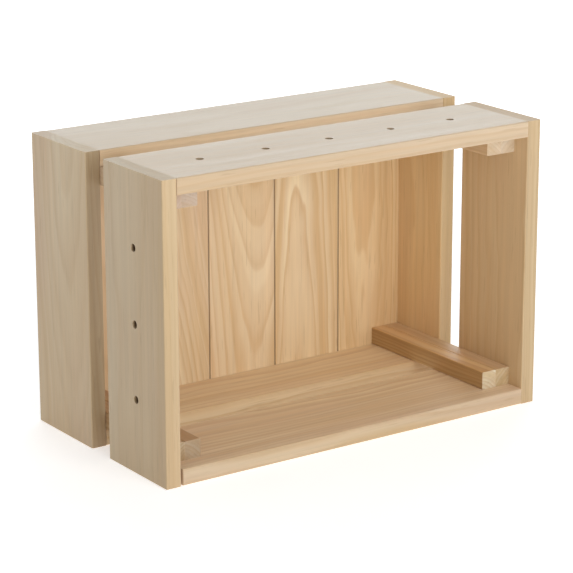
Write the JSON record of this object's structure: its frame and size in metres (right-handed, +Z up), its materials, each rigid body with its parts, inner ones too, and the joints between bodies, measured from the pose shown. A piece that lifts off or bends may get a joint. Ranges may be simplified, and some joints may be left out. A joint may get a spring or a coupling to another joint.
{
  "type": "slatted storage box",
  "caption": "Open-fronted slatted wooden box: board rings with gaps between, joined by corner battens, with a tongued plank back and rows of blind peg holes.",
  "frame": {"origin": "middle of the footprint, on the plane it stands on", "axes": "+X to the right as seen from the open front, +Y from the open front to the plank back, +Z up"},
  "size_m": [0.384, 0.208, 0.256],
  "materials": {
    "board_pine": "bare planed pine, matt",
    "panel_pine": "bare planed pine, matt",
    "batten_pine": "bare planed pine, matt",
    "dowel_wood": "bare turned beech"
  },
  "bodies": {
    "root": {"front_left_board": "board_pine", "front_right_board": "board_pine", "front_top_board": "board_pine", "front_bottom_board": "board_pine", "rear_left_board": "board_pine", "rear_right_board": "board_pine", "rear_top_board": "board_pine", "rear_bottom_board": "board_pine", "back_plank_1": "panel_pine", "back_plank_2": "panel_pine", "back_plank_3": "panel_pine", "back_plank_4": "panel_pine", "back_plank_5": "panel_pine", "batten_bottom_left_outer": "batten_pine", "batten_bottom_left_inner": "batten_pine", "batten_bottom_right_outer": "batten_pine", "batten_bottom_right_inner": "batten_pine", "batten_top_left_outer": "batten_pine", "batten_top_left_inner": "batten_pine", "batten_top_right_outer": "batten_pine", "batten_top_right_inner": "batten_pine", "front_dowels": "dowel_wood", "rear_dowels": "dowel_wood"}
  },
  "joints": []
}
